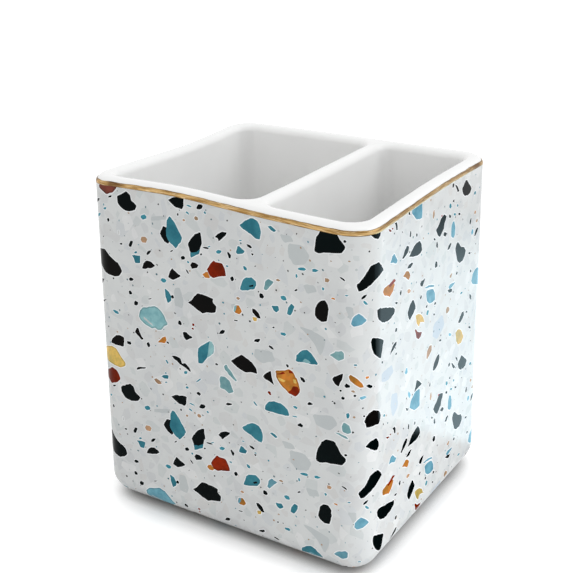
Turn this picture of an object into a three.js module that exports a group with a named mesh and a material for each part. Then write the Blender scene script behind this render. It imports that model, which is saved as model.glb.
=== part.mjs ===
// A ceramic desk tidy: a cast cup with softly rounded corners, a luted divider that
// makes one wide and one narrow well, a printed terrazzo wrap, a gold line on the
// shoulder of the rim, and four soft pads in the hollow of the foot.
//
// Millimetres, +Z up. The origin is on the desk, under the middle of the cup.
// X runs along the wide face, which looks towards -Y.

import * as THREE from 'three';
import { mergeVertices } from 'three/addons/utils/BufferGeometryUtils.js';

// Overall size, over the print
const height = 100;
const rimWidth = 86.5;
const rimDepth = 75;
const lean = 1.2; // how much further out each wall stands at the foot than at the rim
const cornerRadius = 7;

// The cast cup
const wall = 4.5;
const floorThickness = 6;
const wellCornerRadius = 4.5;
const floorFillet = 4;
const rimRadius = 2;
const footRadius = 6.5;
const cornerTightening = 0.6; // how fast the corners tighten where the foot rounds under
const footRingWidth = 4;
const recessDepth = 1.2;
const recessFillet = 0.6;
const recessCornerRadius = 6;

// The divider, a slab let into the cup before firing
const dividerThickness = 4.5;
const dividerOffset = 9; // from the middle, towards +X
const dividerSeatGap = 0.3;
const flareSweep = THREE.MathUtils.degToRad(64); // the slab's flared ends stop short of a feather edge

// The printed wrap and the gold line, laid on the glaze
const printThickness = 0.3;
const glazeGap = 0.1;
const printWrapUnder = THREE.MathUtils.degToRad(76); // how far the print follows the foot's rounding
const goldWidth = 1.5;
const goldThickness = 0.35;
const goldToPrintGap = 0.15;

// The pads
const padRadius = 5.5;
const padProud = 1; // how far the pads hold the foot ring off the desk
const padChamfer = 0.4;
const padToRecessWall = 1.5;

// How finely curves are drawn
const cornerSteps = 10;
const footSteps = 8;
const rimSteps = 6;
const filletSteps = 5;
const padSteps = 32;

// Places worked out from the sizes above
const footZ = padProud;
const recessZ = footZ + recessDepth;
const floorZ = footZ + floorThickness;
const recessInset = footRadius + footRingWidth;
const printBuild = glazeGap + printThickness;

// Half the cup's outer width or depth at a height, on the ceramic itself.
function outerHalf(size, z) {
  const share = (height - z) / (height - footZ);
  return size / 2 - printBuild + lean * share;
}

// Points of an arc in a plane, from one angle to another.
function arc(centreX, centreY, radius, from, to, steps) {
  const points = [];
  for (let i = 0; i <= steps; i += 1) {
    const angle = from + ((to - from) * i) / steps;
    points.push([centreX + radius * Math.cos(angle), centreY + radius * Math.sin(angle)]);
  }
  return points;
}

// A rectangle with rounded corners, anticlockwise from the +X side.
function roundedRectangle(halfX, halfY, radius) {
  const corners = [
    [1, -1, -Math.PI / 2],
    [1, 1, 0],
    [-1, 1, Math.PI / 2],
    [-1, -1, Math.PI],
  ];
  return corners.flatMap(([signX, signY, start]) => arc(
    signX * (halfX - radius), signY * (halfY - radius), radius,
    start, start + Math.PI / 2, cornerSteps,
  ));
}

// One level of the cup: the outer wall's outline drawn in by an inset.
function cupRing(inset, z, radius) {
  const halfX = outerHalf(rimWidth, z) - inset;
  const halfY = outerHalf(rimDepth, z) - inset;
  return { z, outline: roundedRectangle(halfX, halfY, radius) };
}

// Joins level outlines, which all have as many points, into one closed skin.
// An open stack is closed by a flat face at each end, and a looped one by itself.
function loft(rings, looped = false) {
  const count = rings[0].outline.length;
  const positions = rings.flatMap((ring) => ring.outline.flatMap(([x, y]) => [x, y, ring.z]));
  const index = [];
  const bands = looped ? rings.length : rings.length - 1;
  for (let band = 0; band < bands; band += 1) {
    const low = band * count;
    const high = ((band + 1) % rings.length) * count;
    for (let i = 0; i < count; i += 1) {
      const next = (i + 1) % count;
      index.push(low + i, low + next, high + next);
      index.push(low + i, high + next, high + i);
    }
  }
  if (!looped) {
    index.push(...flatFace(rings[0].outline, 0, true));
    index.push(...flatFace(rings.at(-1).outline, (rings.length - 1) * count, false));
  }
  const geometry = new THREE.BufferGeometry();
  geometry.setAttribute('position', new THREE.Float32BufferAttribute(positions, 3));
  geometry.setIndex(index);
  return mergeVertices(geometry);
}

// Triangles that fill one outline, looking down or up.
function flatFace(outline, firstIndex, lookingDown) {
  const contour = outline.map(([x, y]) => new THREE.Vector2(x, y));
  const triangles = THREE.ShapeUtils.triangulateShape(contour, []);
  return triangles.flatMap(([a, b, c]) => {
    const corners = lookingDown ? [a, c, b] : [a, b, c];
    return corners.map((corner) => corner + firstIndex);
  });
}

// Profiles are lists of [inset, z], where the inset is measured in from the outer wall.

// The foot's rounding, from its flat up to the wall, or any surface laid on it.
function footProfile(laidOn, wrap) {
  const centreZ = footZ + footRadius;
  return arc(footRadius, centreZ, footRadius + laidOn, Math.PI + wrap, Math.PI, footSteps);
}

// The outer shoulder of the rim, from the wall up, or any surface laid on it.
function shoulderProfile(laidOn, sweep) {
  const centreZ = height - rimRadius;
  return arc(rimRadius, centreZ, rimRadius + laidOn, Math.PI, Math.PI - sweep, rimSteps);
}

// The inner edge of the rim, from its top down to the inner wall.
function innerRimProfile() {
  return arc(wall - rimRadius, height - rimRadius, rimRadius, Math.PI / 2, 0, rimSteps);
}

// The fillet between the inner wall and the floor.
function floorProfile() {
  return arc(wall + floorFillet, floorZ + floorFillet, floorFillet, Math.PI, 1.5 * Math.PI, filletSteps);
}

// The hollow inside the foot ring, from its ceiling down to the ring's flat.
function recessProfile() {
  const fillet = arc(
    recessInset + recessFillet, recessZ - recessFillet, recessFillet,
    Math.PI / 2, Math.PI, filletSteps,
  );
  return [...fillet, [recessInset, footZ]];
}

function outerCornerRadius(inset) {
  return cornerRadius - cornerTightening * Math.max(inset, 0) + Math.max(-inset, 0);
}

function wellRadius(inset) {
  return wellCornerRadius + wall - inset;
}

function recessRadius(inset) {
  return recessCornerRadius + recessInset - inset;
}

function cupRings(profile, radiusAt) {
  return profile.map(([inset, z]) => cupRing(inset, z, radiusAt(inset)));
}

function cupBody() {
  return loft([
    ...cupRings(recessProfile(), recessRadius),
    ...cupRings(footProfile(0, Math.PI / 2), outerCornerRadius),
    ...cupRings(shoulderProfile(0, Math.PI / 2), outerCornerRadius),
    ...cupRings(innerRimProfile(), wellRadius),
    ...cupRings(floorProfile(), wellRadius),
  ]);
}

// A thin layer laid on the outside, from a profile that is given how far it stands off.
function layer(profile, standOff, thickness) {
  const outer = profile(standOff + thickness);
  const inner = profile(standOff).reverse();
  return loft(cupRings([...outer, ...inner], outerCornerRadius), true);
}

function terrazzoPrint() {
  const top = height - rimRadius - goldToPrintGap;
  return layer(
    (laidOn) => [...footProfile(laidOn, printWrapUnder), [-laidOn, top]],
    glazeGap, printThickness,
  );
}

function goldLine() {
  const sweep = goldWidth / rimRadius;
  return layer((laidOn) => shoulderProfile(laidOn, sweep), glazeGap, goldThickness);
}

// One level of the divider: a slab whose ends flare into the front and back walls.
function dividerRing(halfThickness, flareRadius, halfLength, z) {
  const spread = halfThickness + flareRadius;
  const flareY = halfLength - flareRadius * Math.sin(flareSweep);
  const flare = (signX, signY) => arc(
    0, 0, flareRadius, 0, flareSweep, filletSteps,
  ).map(([u, v]) => [
    dividerOffset + signX * (spread - u),
    signY * (flareY + v),
  ]);
  const outline = [
    ...flare(1, -1).reverse(),
    ...flare(1, 1),
    ...flare(-1, 1).reverse(),
    ...flare(-1, -1),
  ];
  return { z, outline };
}

function divider() {
  // The insets by which the well's outline is drawn in at the floor and let out at the rim
  const foot = floorProfile()
    .map(([inset, z]) => [inset - wall, z])
    .filter(([, z]) => z > floorZ + dividerSeatGap)
    .reverse();
  const seatInset = floorFillet - Math.sqrt(floorFillet ** 2 - (floorFillet - dividerSeatGap) ** 2);
  const head = innerRimProfile().map(([inset, z]) => [inset - wall, z]).reverse();
  const levels = [[seatInset, floorZ + dividerSeatGap], ...foot, ...head];
  const rings = levels.map(([drawnIn, z]) => dividerRing(
    dividerThickness / 2 + drawnIn,
    wellCornerRadius - drawnIn,
    outerHalf(rimDepth, z) - wall - drawnIn - dividerSeatGap,
    z,
  ));
  return loft(rings);
}

function footPad() {
  const thickness = recessZ;
  const section = [
    [0, 0],
    [padRadius - padChamfer, 0],
    [padRadius, padChamfer],
    [padRadius, thickness - padChamfer],
    [padRadius - padChamfer, thickness],
    [0, thickness],
  ].map(([r, z]) => new THREE.Vector2(r, z));
  const geometry = new THREE.LatheGeometry(section, padSteps);
  geometry.rotateX(Math.PI / 2);
  return geometry;
}

function padPlaces() {
  const inset = recessInset + padToRecessWall + padRadius;
  const x = outerHalf(rimWidth, footZ) - inset;
  const y = outerHalf(rimDepth, footZ) - inset;
  return {
    foot_pad_front_left: [-x, -y],
    foot_pad_front_right: [x, -y],
    foot_pad_back_right: [x, y],
    foot_pad_back_left: [-x, y],
  };
}

function material(color, roughness, metalness) {
  return new THREE.MeshStandardMaterial({ color, roughness, metalness });
}

const whiteGlaze = material('#f1f1f0', 0.12, 0);
const printedGlaze = material('#d9dcdc', 0.14, 0);
const goldLustre = material('#c19b60', 0.22, 1);
const clearRubber = material('#d4d3cd', 0.5, 0);

const holder = new THREE.Group();

function addPiece(name, geometry, finish, place = [0, 0]) {
  const mesh = new THREE.Mesh(geometry, finish);
  mesh.name = name;
  mesh.position.set(place[0], place[1], 0);
  holder.add(mesh);
}

addPiece('ceramic_cup', cupBody(), whiteGlaze);
addPiece('well_divider', divider(), whiteGlaze);
addPiece('terrazzo_print', terrazzoPrint(), printedGlaze);
addPiece('gold_rim_line', goldLine(), goldLustre);
for (const [name, place] of Object.entries(padPlaces())) {
  addPiece(name, footPad(), clearRubber, place);
}

export default holder;
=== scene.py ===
# %% [markdown]
# A ceramic desk tidy with two wells, dressed as it leaves the kiln. It has four layers, and
# each is a lesson of its own: white glaze over cast clay, a printed terrazzo wrap under
# clear glaze, a brushed line of gold lustre, and four soft feet.
#
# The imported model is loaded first. It fixes the overall size, and each piece made here
# stands for one or more of its nodes, so the script starts by asking the frame where they
# are.

# %% Load the frame
import math
import random

import bmesh
import bpy
from mathutils import Matrix, Vector, noise
from mathutils.geometry import delaunay_2d_cdt


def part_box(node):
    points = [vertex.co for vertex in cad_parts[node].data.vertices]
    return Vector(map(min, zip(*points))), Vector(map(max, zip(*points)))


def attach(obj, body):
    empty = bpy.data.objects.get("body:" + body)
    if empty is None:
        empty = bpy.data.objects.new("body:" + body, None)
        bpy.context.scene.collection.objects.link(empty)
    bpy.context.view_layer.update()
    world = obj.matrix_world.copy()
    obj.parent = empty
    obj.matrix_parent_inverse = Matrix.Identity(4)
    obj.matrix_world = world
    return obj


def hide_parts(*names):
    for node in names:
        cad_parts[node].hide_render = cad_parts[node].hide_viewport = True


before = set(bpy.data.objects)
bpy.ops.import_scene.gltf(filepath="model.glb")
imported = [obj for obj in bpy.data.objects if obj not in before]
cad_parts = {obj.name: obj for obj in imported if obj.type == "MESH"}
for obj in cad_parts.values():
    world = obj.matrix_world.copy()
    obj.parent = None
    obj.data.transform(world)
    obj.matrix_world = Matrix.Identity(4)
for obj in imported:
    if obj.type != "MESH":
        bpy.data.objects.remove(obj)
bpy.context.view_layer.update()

MM = 0.001
cup_low, cup_high = (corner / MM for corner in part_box("ceramic_cup"))
print_low, print_high = (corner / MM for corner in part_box("terrazzo_print"))
divider_low, divider_high = (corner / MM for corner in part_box("well_divider"))
print("cup, mm:", [round(v, 2) for v in (*cup_low, *cup_high)])
print("print, mm:", [round(v, 2) for v in (*print_low, *print_high)])

# %% [markdown]
# Everything below is worked out in millimetres, on a cup whose walls lean out a little
# towards the foot. The height, the foot, the lean and the middle of the divider come from
# the frame, and the rest are the sizes that a mould maker would write on the drawing.

# %% Sizes of the cup
height = cup_high.z
foot_height = cup_low.z
rim_width = 86.5
rim_depth = 75.0
lean_below_print = 0.08
lean = print_high.x - rim_width / 2 + lean_below_print
corner_radius = 7.4
corner_tightening = 0.6
wall = 4.9
rim_rounding = 2.3
inner_rim_rounding = 2.0
well_corner = 4.5
floor_level = 7.0
floor_fillet = 4.0
foot_rounding = 6.9
foot_ring_width = 4.0
recess_depth = 1.2
recess_fillet = 0.6
recess_corner = 6.0
divider_middle = (divider_low.x + divider_high.x) / 2
divider_thickness = 4.5
print_build = 0.4
print_film = 0.05
print_over_shoulder = 0.25
print_wrap_under = math.radians(76)

foot_centre = foot_height + foot_rounding - print_film
shoulder_centre = height - rim_rounding
print_top = shoulder_centre + print_over_shoulder
print("lean:", round(lean, 2), "divider at x =", round(divider_middle, 2))

# %% [markdown]
# Every level of the cup is a rounded rectangle. One helper draws it from four straights and
# four arcs, always with the same number of points, so that two levels can be joined by a
# band of quads. Arcs come from a formula and not from a list of points.
#
# Thin ware moves in the kiln, so a fired rim is never quite level. Four soft waves lift or
# lower every point near the rim. Each has a heading from the middle of the cup and a
# breadth, both in degrees, and a rise in millimetres.

# %% Outlines and bands
corner_steps = 12
straight_steps = 12
quarter = math.pi / 2
wave_foot = 87.0
kiln_waves = ((-110, 28, 1.4), (12, 35, 0.75), (-47, 18, -0.4), (165, 32, -1.3))


def smooth(share):
    """A smooth step: 0 below 0, 1 above 1, and level at both ends."""
    share = min(max(share, 0), 1)
    return share * share * (3 - 2 * share)


def fired(point):
    """Where a point of the cup ends up after firing."""
    x, y, level = point
    share_x, share_y = 2 * x / rim_width, 2 * y / rim_depth
    heading = math.degrees(math.atan2(share_y, share_x))
    outward = max(abs(share_x), abs(share_y)) ** 2
    lift = 0.0
    for middle, breadth, rise in kiln_waves:
        apart = (heading - middle + 180) % 360 - 180
        lift += rise * math.exp(-(apart / breadth) ** 2)
    upward = smooth((level - wave_foot) / (shoulder_centre - wave_foot))
    return Vector((x, y, level + lift * outward * upward))


def arc(centre, radius, start, end, steps):
    """Points on an arc from one angle to another, both ends included."""
    angles = [start + (end - start) * step / steps for step in range(steps + 1)]
    return [(centre[0] + radius * math.cos(a), centre[1] + radius * math.sin(a)) for a in angles]


def rounded_rectangle(left, right, front, back, radius):
    """An outline that starts at the front right corner and runs anticlockwise."""
    centres = [(right - radius, front + radius), (right - radius, back - radius),
               (left + radius, back - radius), (left + radius, front + radius)]
    corners = [arc(centre, radius, quarter * (turn - 1), quarter * turn, corner_steps)
               for turn, centre in enumerate(centres)]
    points = []
    for corner, following in zip(corners, corners[1:] + corners[:1]):
        (x, y), (next_x, next_y) = corner[-1], following[0]
        shares = [step / straight_steps for step in range(1, straight_steps)]
        points += corner + [(x + (next_x - x) * share, y + (next_y - y) * share) for share in shares]
    return points


def half_sizes(level):
    """Half the width and depth over the print, at a height."""
    spread = lean * (height - level) / (height - foot_height)
    return rim_width / 2 + spread, rim_depth / 2 + spread


def outer_radius(inset):
    """The corner radius of the outside, drawn in by an inset or let out by a negative one."""
    return corner_radius - (corner_tightening * inset if inset > 0 else inset)


def outer_ring(inset, level, radius):
    """The outside's outline at a height, drawn in by an inset."""
    half_x, half_y = half_sizes(level)
    outline = rounded_rectangle(inset - half_x, half_x - inset, inset - half_y, half_y - inset, radius)
    return [(x, y, level) for x, y in outline]


def add_ring(bm, ring):
    """Puts the points of a ring into a mesh, where the kiln leaves them."""
    return [bm.verts.new(fired(point) * MM) for point in ring]


def join_rings(bm, lower, upper, material_index=0):
    """Joins two rings by a band of quads."""
    for i in range(len(lower)):
        j = (i + 1) % len(lower)
        face = bm.faces.new((lower[i], lower[j], upper[j], upper[i]))
        face.material_index = material_index
        face.smooth = True


def new_object(name, data):
    """An object at the origin, put into the scene."""
    made = bpy.data.objects.new(name, data)
    bpy.context.scene.collection.objects.link(made)
    return made


def finish_mesh(name, bm, materials):
    """Turns a bmesh into a piece with its materials."""
    bmesh.ops.recalc_face_normals(bm, faces=bm.faces)
    mesh = bpy.data.meshes.new(name)
    bm.to_mesh(mesh)
    bm.free()
    for material in materials:
        mesh.materials.append(material)
    print(name, len(mesh.polygons), "faces")
    return new_object(name, mesh)


# %% [markdown]
# Shaders are easier to read as sums than as webs of nodes. The class below wraps a socket,
# so that `0.1 + 0.05 * clouds` adds the two Math nodes by itself. Any other kind of node
# comes from one method that takes its type, its settings and its inputs. Geometry Nodes
# have the same kind of sockets, so the class serves them too.

# %% Shader sums
def paint(code):
    """A linear colour from a hex code as a paint chart gives it."""
    values = [int(code[i:i + 2], 16) / 255 for i in (1, 3, 5)]
    linear = [v / 12.92 if v <= 0.04045 else ((v + 0.055) / 1.055) ** 2.4 for v in values]
    return (*linear, 1.0)


class Wire:
    def __init__(self, tree, socket):
        self.tree = tree
        self.socket = socket

    def node(self, kind, settings=None, inputs=None, output=0):
        """A new node in the same tree, as the wire that leaves one of its outputs."""
        new = self.tree.nodes.new(kind)
        for name, value in (settings or {}).items():
            setattr(new, name, value)
        for key, value in (inputs or {}).items():
            if isinstance(value, Wire):
                self.tree.links.new(value.socket, new.inputs[key])
            else:
                new.inputs[key].default_value = value
        return Wire(self.tree, new.outputs[output])

    def math(self, operation, first, second):
        return self.node("ShaderNodeMath", {"operation": operation}, {0: first, 1: second})

    def __add__(self, other):
        return self.math("ADD", self, other)

    def __radd__(self, other):
        return self.math("ADD", other, self)

    def __sub__(self, other):
        return self.math("SUBTRACT", self, other)

    def __rsub__(self, other):
        return self.math("SUBTRACT", other, self)

    def __mul__(self, other):
        return self.math("MULTIPLY", self, other)

    def __rmul__(self, other):
        return self.math("MULTIPLY", other, self)

    def between(self, low, high):
        """0 below low, 1 above high, and a smooth step between them."""
        settings = {"interpolation_type": "SMOOTHSTEP"}
        return self.node("ShaderNodeMapRange", settings, {0: self, 1: low, 2: high})

    def blend(self, off, on):
        """A colour mixed from two by this value."""
        return self.node("ShaderNodeMix", {"data_type": "RGBA"}, {0: self, 6: off, 7: on}, output=2)

    def place(self):
        """Object coordinates."""
        return self.node("ShaderNodeTexCoord", output=3)

    def axis(self, number):
        """X, Y or Z of this vector, as 0, 1 or 2."""
        return self.node("ShaderNodeSeparateXYZ", None, {0: self}, output=number)

    def noise(self, scale, detail=3.0, roughness=0.5):
        """Noise on these coordinates."""
        values = {"Vector": self, "Scale": scale, "Detail": detail, "Roughness": roughness}
        return self.node("ShaderNodeTexNoise", None, values)

    def bump(self, distance):
        """A surface normal from this value as a height."""
        return self.node("ShaderNodeBump", None, {"Strength": 1.0, "Distance": distance, "Height": self})


def new_material(name):
    """A material, its shader node, and a wire from which its sums start."""
    material = bpy.data.materials.new(name)
    material.use_nodes = True
    shader = material.node_tree.nodes["Principled BSDF"]
    start = Wire(material.node_tree, shader.outputs[0])
    return material, shader, start


def connect(shader, **wires):
    names = {"colour": "Base Color", "roughness": "Roughness", "normal": "Normal", "glow": "Emission Color"}
    for key, wire in wires.items():
        wire.tree.links.new(wire.socket, shader.inputs[names[key]])


# %% [markdown]
# White glaze is glass over pale clay. It is never quite even: it clouds a little where it
# lies thicker, and its surface has a long, low ripple from the brush and the dip, like the
# peel of an orange. Both come from noise on Object coordinates, so that they stay put when
# the camera moves. Only colour, roughness and bump change over the surface; the rest are
# plain numbers on the shader.

# %% White glaze
glaze, shader, start = new_material("white_glaze")
shader.inputs["IOR"].default_value = 1.5
place = start.place()
clouds = place.noise(55.0, detail=4.0)
ripple = place.noise(170.0, detail=2.0)
grain = place.noise(1400.0, detail=2.0)
colour = clouds.between(0.3, 0.7).blend(paint("#fafaf9"), paint("#fdfdfc"))
roughness = 0.09 + 0.06 * clouds + 0.03 * grain
connect(shader, colour=colour, roughness=roughness, normal=ripple.bump(0.04 * MM))

# %% [markdown]
# The ring that the cup is fired on is wiped clean of glaze. The bare clay is matt and
# slightly warm, with a fine tooth that a fingertip can feel.

# %% Bare clay
clay, shader, start = new_material("bare_clay")
place = start.place()
tooth = place.noise(2600.0, detail=5.0, roughness=0.7)
stain = place.noise(120.0)
colour = stain.between(0.35, 0.75).blend(paint("#e6dfd2"), paint("#d8cdba"))
connect(shader, colour=colour, roughness=0.78 + 0.15 * tooth, normal=tooth.bump(0.06 * MM))

# %% [markdown]
# The cast body and its divider are one skin once they are glazed, so one mesh stands for
# both nodes. It could be carved with booleans, but those leave ragged edges for the smooth
# shading. Rings give full control: one stack climbs the outside from the hollow of the foot
# to the rim, and one goes down into each well. A pair of rings close together at each end
# of a fillet keeps the long flat walls flat in the reflections.

# %% The glazed cup
support = 0.25
hollow_steps = 4
foot_steps = 10
shoulder_steps = 8
lip_steps = 7
fillet_steps = 7
recess_inset = foot_rounding - print_build + foot_ring_width
recess_ceiling = foot_height + recess_depth


def hollow_profile():
    """Insets and heights from the ceiling of the hollow down to the foot ring."""
    corner = (recess_inset + recess_fillet, recess_ceiling - recess_fillet)
    return arc(corner, recess_fillet, quarter, math.pi, hollow_steps) + [(recess_inset, foot_height)]


def outside_profile():
    """Insets and heights from the foot ring up to the flat of the rim."""
    foot = arc((foot_rounding, foot_centre), foot_rounding - print_film, 3 * quarter, math.pi, foot_steps)
    shoulder = arc((rim_rounding, shoulder_centre), rim_rounding - print_film,
                   math.pi, quarter, shoulder_steps)
    shoulder[-1] = (rim_rounding, height - print_film)
    middle = [(print_film, foot_centre + support), (print_film, shoulder_centre - support)]
    return foot + middle + shoulder


def well_profile():
    """Insets and heights from the rim down to the edge of the floor."""
    top = height - print_film
    lip = arc((-inner_rim_rounding, top - inner_rim_rounding), inner_rim_rounding, quarter, 0, lip_steps)
    corner = (floor_fillet, floor_level + floor_fillet)
    fillet = arc(corner, floor_fillet, math.pi, 3 * quarter, fillet_steps)
    middle = [(0, height - inner_rim_rounding - support), (0, corner[1] + support)]
    return lip + middle + fillet


def well_ring(left, right, inset, level):
    """A well's outline, drawn in by an inset, or let out where that is negative."""
    half_x, half_y = (half - wall for half in half_sizes(level))
    west = -half_x if left is None else left
    east = half_x if right is None else right
    radius = well_corner - inset
    outline = rounded_rectangle(west + inset, east - inset, inset - half_y, half_y - inset, radius)
    return [(x, y, level) for x, y in outline]


bm = bmesh.new()
hollow = hollow_profile()
rings = [add_ring(bm, outer_ring(inset, level, recess_corner + recess_inset - inset))
         for inset, level in hollow]
rings += [add_ring(bm, outer_ring(inset, level, outer_radius(inset))) for inset, level in outside_profile()]
bm.faces.new(rings[0])
for number, (lower, upper) in enumerate(zip(rings, rings[1:])):
    on_foot_ring = number in (len(hollow) - 2, len(hollow) - 1)
    join_rings(bm, lower, upper, material_index=int(on_foot_ring))

divider_side = divider_thickness / 2
well_sides = ((None, divider_middle - divider_side), (divider_middle + divider_side, None))
loops = [rings[-1]]
for left, right in well_sides:
    levels = [add_ring(bm, well_ring(left, right, inset, level)) for inset, level in well_profile()]
    for upper, lower in zip(levels, levels[1:]):
        join_rings(bm, upper, lower)
    bm.faces.new(levels[-1])
    loops.append(levels[0])
rim_edges = [bm.edges.get((loop[i - 1], loop[i])) for loop in loops for i in range(len(loop))]
land = bmesh.ops.triangle_fill(bm, use_beauty=True, use_dissolve=False, edges=rim_edges)
for item in land["geom"]:
    if isinstance(item, bmesh.types.BMFace):
        item.smooth = True
cup = finish_mesh("glazed_cup", bm, [glaze, clay])
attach(cup, "root")
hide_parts("ceramic_cup", "well_divider")

# %% [markdown]
# The terrazzo is a transfer: a printed sheet that is slid onto the glaze and fired. So it
# is drawn here as a printer draws it, flat and in millimetres, and then wrapped. Along the
# sheet, 0 is the front left corner, the wide front follows, and then the right side. Up the
# sheet is height, and below the wall it follows the rounding of the foot.

# %% From the flat sheet to the cup
straight_x = rim_width - 2 * corner_radius
straight_y = rim_depth - 2 * corner_radius
corner_length = corner_radius * quarter
girth = 2 * (straight_x + straight_y) + 4 * corner_length
lowest = foot_centre - foot_rounding * print_wrap_under
sheet_corners = [(0.0, lowest), (girth, lowest), (girth, print_top), (0.0, print_top)]
runs = [("corner", corner_length), ("front", straight_x), ("corner", corner_length),
        ("right", straight_y), ("corner", corner_length), ("back", straight_x),
        ("corner", corner_length), ("left", straight_y)]
corner_signs = ((-1, -1), (1, -1), (1, 1), (-1, 1))
print("girth of the sheet:", round(girth, 1), "mm, lowest line:", round(lowest, 2))


def wrap(along, up, stand_off=0.0):
    """The point on the cup, and the way out of it, for a point of the flat sheet."""
    under = max(0.0, (foot_centre - up) / foot_rounding)
    over = max(0.0, (up - shoulder_centre) / rim_rounding)
    turn = over - under
    rounding = rim_rounding if over else foot_rounding
    level = min(max(up, foot_centre), shoulder_centre) + (rounding + stand_off) * math.sin(turn)
    inset = rounding - (rounding + stand_off) * math.cos(turn)
    radius = outer_radius(inset)
    distance = (along + corner_length / 2) % girth
    for number, (name, length) in enumerate(runs):
        if distance <= length or number == len(runs) - 1:
            break
        distance -= length
    share = distance / length
    side = number // 2
    heading = math.pi + quarter * side + (quarter * share if name == "corner" else quarter)
    halves = [half - inset - radius for half in half_sizes(level)]
    here, there = ([sign * half for sign, half in zip(corner_signs[corner % 4], halves)]
                   for corner in (side, side + 1))
    if name != "corner":
        here = [a + (b - a) * share for a, b in zip(here, there)]
    out = Vector((math.cos(heading), math.sin(heading), 0))
    point = Vector((*here, level)) + out * radius
    normal = out * math.cos(turn) + Vector((0, 0, math.sin(turn)))
    return fired(point) * MM, normal.normalized()


# %% [markdown]
# Terrazzo is stone chips in a pale ground. The larger chips are written down one by one as
# a printer would cut them: a colour, and the corners of the chip as pairs of along and up.
# Only the upper part of half the sheet is written, because the pattern repeats down the
# cup, and again half way round.

# %% Chips with an outline of their own
inks = {
    "ink": paint("#020a0b"), "coal": paint("#0c0b0a"), "teal": paint("#3d8798"),
    "sea": paint("#84b3b8"), "sky": paint("#6eabc2"), "rust": paint("#7d2307"),
    "amber": paint("#c07e35"), "straw": paint("#d3b564"), "tan": paint("#a98b6e"),
    "mist": paint("#c3c8c8"), "frost": paint("#c3cdd6"), "rose": paint("#a4585c"),
    # The brown ink next is rust with painted shade, for the first-row copies of one chip under the gold line.
    "slate": paint("#4d6e76"), "shaded_rust": paint("#6b3c33"), "ochre": paint("#b27430"),
    "lagoon": paint("#6ba3b4"),
}
chips = []


def chip(ink, *numbers, kind="chip"):
    """Writes down a chip, or a patch: a stain inside a chip, with no halo of its own."""
    chips.append((ink, list(zip(numbers[0::2], numbers[1::2])), kind))


def patch(ink, *numbers):
    chip(ink, *numbers, kind="patch")


chip("mist", 20, 91, 20.2, 92.2, 25.5, 93.6, 25, 92.2)
chip("mist", 26.8, 68, 27, 73, 29, 73.4, 30, 70, 29.4, 67.6)
chip("mist", 63, 92.5, 67.2, 92.7, 69.3, 90.4, 68, 87.9, 64.7, 87.1, 63, 89.2)
chip("mist", 60.5, 94.6, 63.8, 94.6, 64.7, 93.3, 61.8, 92.5)
chip("mist", 67.2, 82.5, 70.5, 82.9, 71.3, 81.3, 68.4, 80.2)
chip("mist", 65.9, 70.8, 68.8, 70.8, 73.8, 69.2, 73.4, 66.7, 72.2, 64, 70.1, 67.5)
chip("mist", 52.6, 61.3, 57.6, 61.7, 58.8, 59.2, 54.7, 57.5, 52.2, 58.8)
chip("mist", 69.7, 46.7, 75.5, 47.9, 77.2, 45.8, 74.7, 43.3, 70.9, 43.8)
chip("mist", 79, 79, 81.2, 79, 81.3, 76.7, 80.5, 75.4)
chip("frost", 90.5, 58.8, 96.3, 58.8, 97.2, 56.3, 93.8, 55.2, 90.5, 56.3)
chip("frost", 96.3, 50, 99.7, 49.2, 100.1, 44.6, 97.2, 42.9, 95.9, 46.7)
chip("frost", 121, 60, 127, 61, 128.5, 57, 124, 54.6, 120.8, 56.5)
# Painted shade: this rust chip lies just under the gold line, so its first-row copies are darkened to a
# brown.
chip("shaded_rust", 2, 97.5, 3, 99.5, 6, 101.5, 8, 101, 9, 98.5, 7.5, 97, 5, 96, 3.5, 96.8)
chip("ink", 8.8, 96.1, 10.5, 97, 12.2, 98, 13.5, 97.1, 13.7, 95.8, 15.6, 94.5, 14.6, 93.1,
     12.6, 92.4, 10.4, 92.7, 9, 94.2)
chip("ink", 26.1, 97.8, 27.7, 98.8, 31.4, 99.3, 31.1, 96.8, 30.5, 96.1, 28.4, 96.3)
chip("ink", 24.2, 90.2, 25.6, 90, 26, 86, 25.5, 85.4, 24.2, 86, 23.2, 87.2, 22.9, 87.9, 23.4, 89)
chip("teal", 26.3, 93.5, 27.2, 93.1, 28.6, 91.2, 29.7, 89.2, 30.3, 87.9, 29.9, 86.9, 28.8, 85.6,
     28.1, 84.7, 27.2, 85.2, 25.7, 86.5, 25, 87.9, 25.3, 90.4, 25.4, 91.9)
chip("teal", 32.6, 84.8, 33.4, 84.9, 36, 86, 35.7, 84.4, 34.3, 83.8, 32.9, 82.8)
chip("ink", 35.7, 90.5, 36.4, 90.8, 36.7, 87.9, 36, 85.8, 35.1, 85.1, 33.4, 84.5, 32.6, 84.6,
     32.1, 86.5, 33.2, 88.3, 34.3, 89.6)
chip("coal", -3, 76.5, -1.5, 78.3, 0.5, 79.2, 3, 79.8, 4.3, 78.7, 6, 77.3, 8, 76.4, 8.6, 75.6,
     9.2, 74.1, 8, 72.7, 6.3, 72.1, 4.3, 72.3, 2.6, 72.7, 1.3, 73.6, -0.5, 74.4)
chip("coal", 16.2, 76.4, 17, 78.4, 18, 79.2, 19.3, 79.2, 20.9, 78.3, 19.5, 77.3)
chip("coal", 25.1, 75.8, 25.7, 77.3, 26.6, 78.8, 27.4, 78.1, 29.5, 77, 28, 76, 26.8, 75.3)
chip("teal", 12.9, 79.7, 14, 80.1, 15.9, 80.1, 15.8, 79, 15.6, 77.9, 13.9, 77.8, 13.6, 79)
chip("teal", 23.8, 72.2, 25.3, 71.5, 26, 70, 25.8, 69, 24.5, 68, 24, 69.6)
chip("coal", 31.3, 69.8, 32.8, 70.8, 33.6, 72.1, 34.7, 73.1, 35.9, 73.3, 37.8, 72.9, 39.7, 72.6,
     39.6, 71.5, 40.7, 70.6, 40.4, 68.8, 37.6, 68.2, 36.2, 67.6, 34.7, 68.1, 33, 69)
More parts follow.
